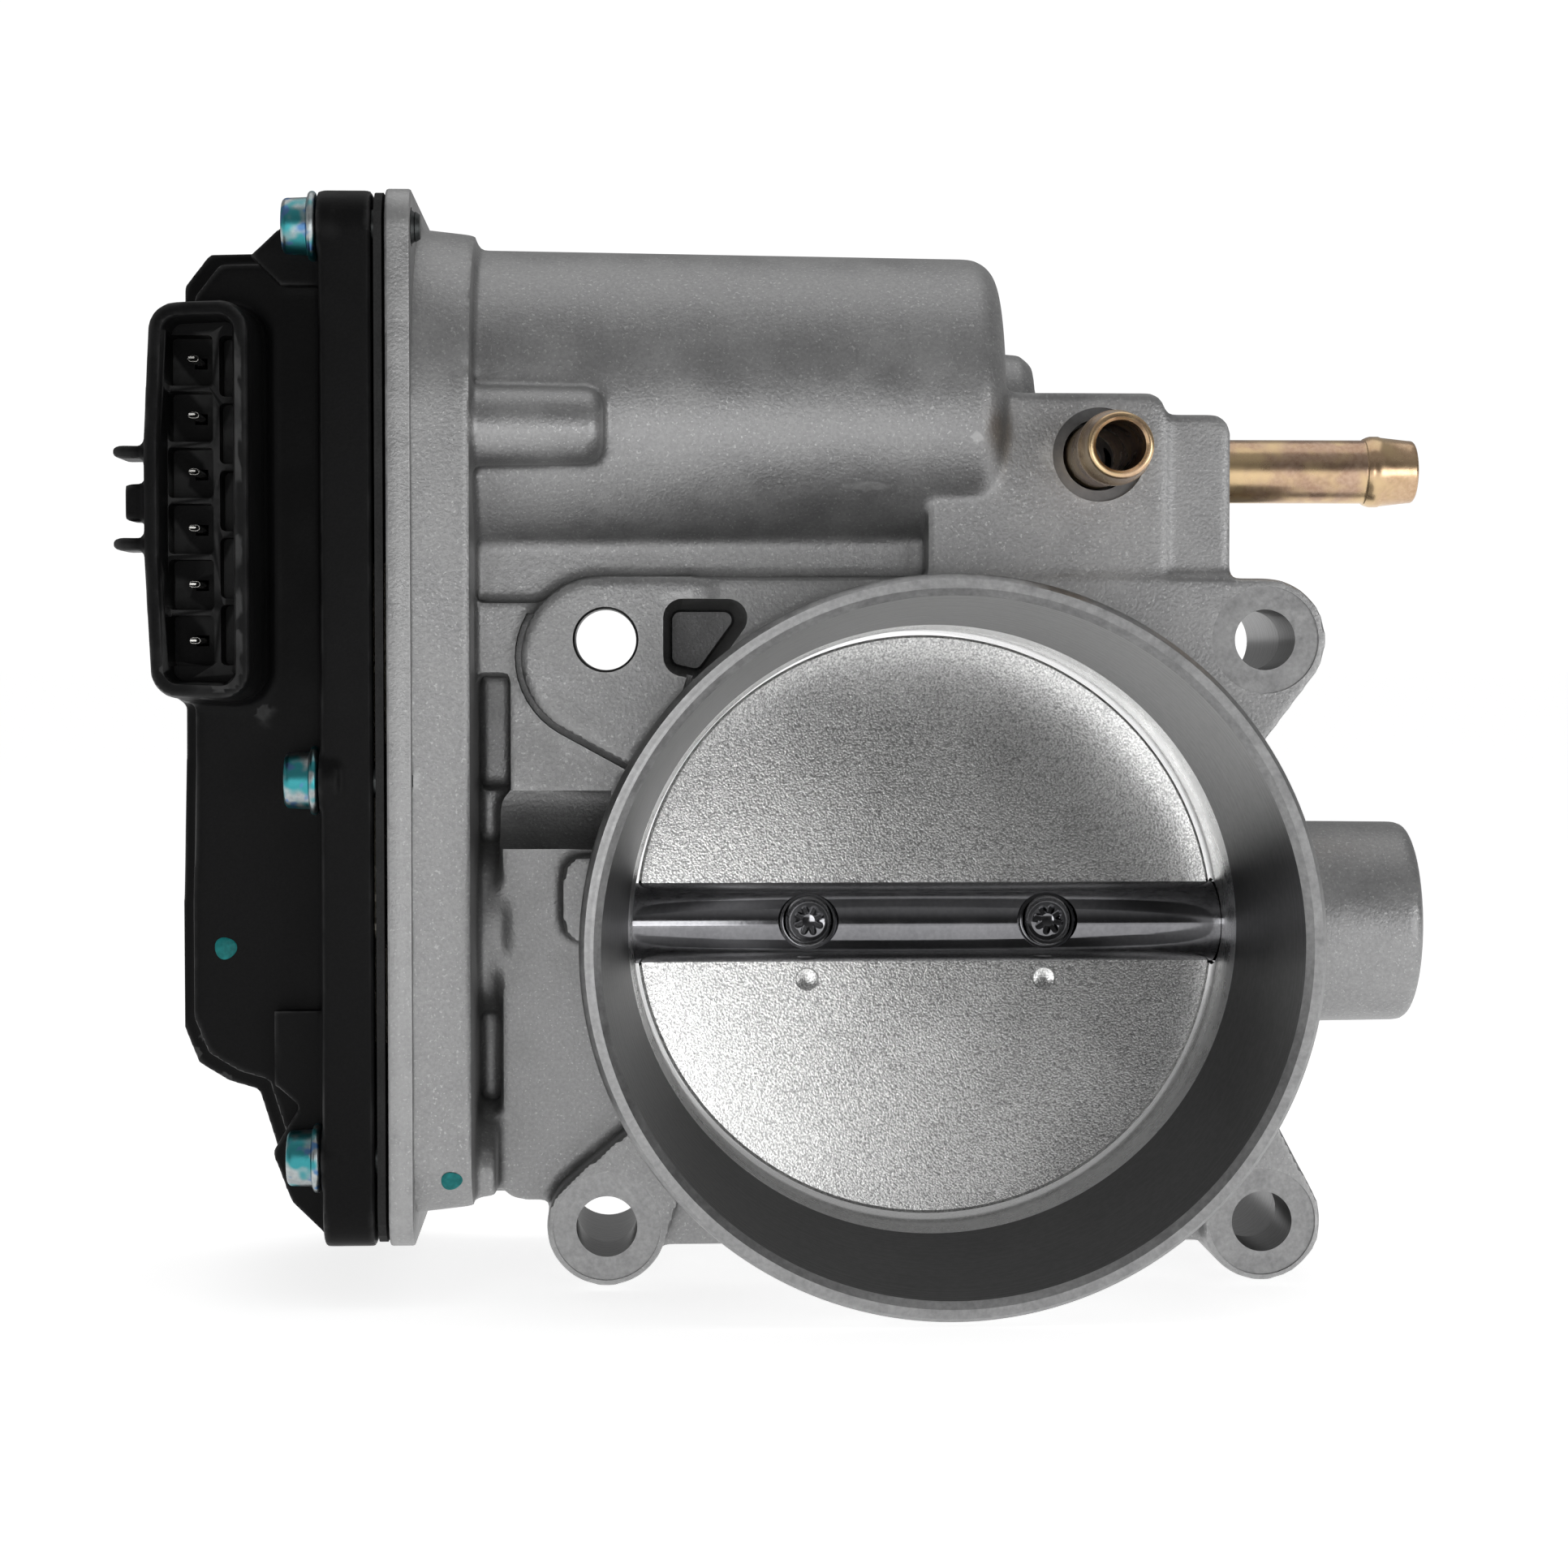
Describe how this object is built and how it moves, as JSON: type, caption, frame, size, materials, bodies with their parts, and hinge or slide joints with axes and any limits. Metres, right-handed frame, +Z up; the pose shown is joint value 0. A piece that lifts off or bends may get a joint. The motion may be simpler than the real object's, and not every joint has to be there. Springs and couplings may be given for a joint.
{
  "type": "electronic throttle body",
  "caption": "Drive-by-wire throttle body: flanged cast bore with a butterfly plate on a cross shaft, motor barrel above, plastic gear cover with plug shroud, and two coolant pipes.",
  "frame": {"origin": "where the bore axis meets the manifold mounting face, at the centre of the four bolt holes", "axes": "+Y along the bore from the inlet lip to the manifold, +Z up as installed, +X along the throttle shaft away from the gear case"},
  "size_m": [0.1493, 0.0653, 0.1246],
  "materials": {
    "cast_aluminium": "fine-grained die casting, satin, with machined faces",
    "plate_metal": "blasted, bright satin",
    "polished_steel": "ground and polished",
    "zinc_steel": "zinc plated, blue-green passivated",
    "copper_alloy": "drawn, lightly oxidised",
    "black_plastic": "moulded, glass filled, satin",
    "gear_plastic": "moulded, natural",
    "rubber": "matt",
    "magnet": "sintered, dark"
  },
  "bodies": {
    "housing": {"throttle_housing": "cast_aluminium", "idler_pin": "polished_steel", "motor_can": "polished_steel", "shaft_end_plug": "polished_steel", "bearing_left": "polished_steel", "bearing_right": "polished_steel", "return_spring": "polished_steel", "closed_stop_screw": "polished_steel", "cover_screw_1": "zinc_steel", "cover_screw_2": "zinc_steel", "cover_screw_3": "zinc_steel", "cover_screw_4": "zinc_steel", "cover_screw_5": "zinc_steel", "cover_screw_6": "zinc_steel", "motor_mount_plate": "zinc_steel", "motor_screw_1": "zinc_steel", "motor_screw_2": "zinc_steel", "coolant_pipe_front": "copper_alloy", "coolant_pipe_side": "copper_alloy", "motor_bush": "copper_alloy", "motor_terminal_1": "copper_alloy", "motor_terminal_2": "copper_alloy", "terminal_1": "copper_alloy", "terminal_2": "copper_alloy", "terminal_3": "copper_alloy", "terminal_4": "copper_alloy", "terminal_5": "copper_alloy", "terminal_6": "copper_alloy", "gear_cover": "black_plastic", "motor_end_cap": "black_plastic", "angle_sensor": "black_plastic", "cover_seal": "rubber", "shaft_seal_left": "rubber", "shaft_seal_right": "rubber", "motor_magnet_1": "magnet", "motor_magnet_2": "magnet", "motor_brush_1": "magnet", "motor_brush_2": "magnet"},
    "throttle": {"throttle_shaft": "polished_steel", "throttle_plate": "plate_metal", "plate_screw_1": "polished_steel", "plate_screw_2": "polished_steel", "throttle_gear": "gear_plastic", "sensor_magnet_1": "magnet", "sensor_magnet_2": "magnet", "magnet_yoke": "polished_steel", "spring_guide": "gear_plastic", "shaft_clip": "polished_steel"},
    "idler": {"idler_gear": "gear_plastic"},
    "rotor": {"motor_shaft": "polished_steel", "motor_armature": "polished_steel", "motor_commutator": "copper_alloy", "motor_pinion": "polished_steel"}
  },
  "joints": [
    {"name": "throttle_turn", "type": "hinge", "parent": "housing", "child": "throttle", "pos_m": [0, -0.022, 0], "axis": [-1, 0, 0], "range_deg": [-5, 77], "stiffness_Nm_per_rad": 0.15},
    {"name": "idler_turn", "type": "hinge", "parent": "housing", "child": "idler", "pos_m": [0, -0.022, 0.0325], "axis": [-1, 0, 0], "range_deg": [-190, 16]},
    {"name": "motor_turn", "type": "hinge", "parent": "housing", "child": "rotor", "pos_m": [0, -0.022, 0.0605], "axis": [-1, 0, 0], "range_deg": [-60, 760]}
  ],
  "couplings": [
    {"joint": "idler_turn", "follows": "throttle_turn", "ratio": -2.4211},
    {"joint": "motor_turn", "follows": "throttle_turn", "ratio": 9.6842}
  ]
}
